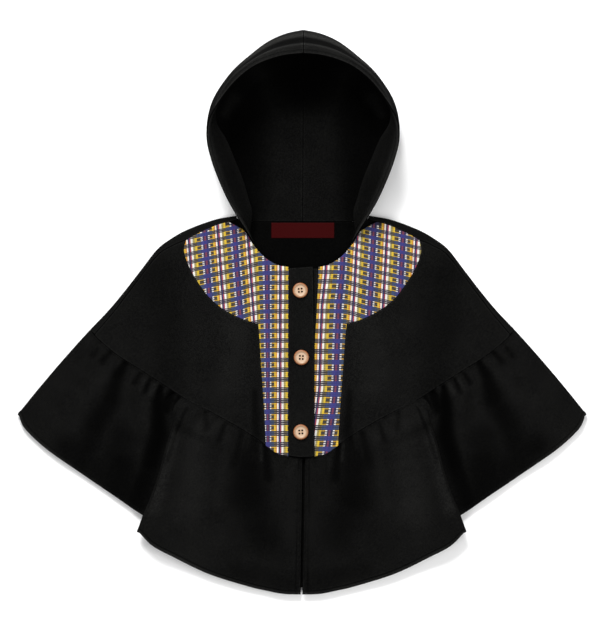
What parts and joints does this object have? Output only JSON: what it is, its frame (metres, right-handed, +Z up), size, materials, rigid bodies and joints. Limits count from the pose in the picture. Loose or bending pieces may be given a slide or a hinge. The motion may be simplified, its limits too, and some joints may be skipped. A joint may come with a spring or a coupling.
{
  "type": "hooded capelet",
  "caption": "Hooded capelet of black wool cloth with a patterned tweed bib, a buttoned front band and a gathered ruffle hem, lying flat with the hood open",
  "frame": {"origin": "centre of the bottom face of the bounding box, on the surface the capelet lies on", "axes": "+Z up from the surface, out of the front of the garment; +Y from the hem to the top of the hood; +X to the wearer's left"},
  "size_m": [0.825, 0.8174, 0.081],
  "materials": {
    "black_wool": "brushed wool coating, matte, soft nap",
    "bib_weave": "woven tweed with white, red and navy stripes and gold and blue bars, matte",
    "label_satin": "woven satin label, dark red, soft sheen",
    "button_wood": "turned light wood with a darker orange-brown rim, satin"
  },
  "bodies": {
    "root": {"back_panel": "black_wool", "ruffle_back": "black_wool", "front_left": "black_wool", "bib_left": "bib_weave", "ruffle_front_left": "black_wool", "hood_left": "black_wool", "front_right": "black_wool", "bib_right": "bib_weave", "ruffle_front_right": "black_wool", "hood_right": "black_wool", "band_under": "black_wool", "band_top": "black_wool", "neck_label": "label_satin", "button_top": "button_wood", "button_middle": "button_wood", "button_bottom": "button_wood"}
  },
  "joints": []
}
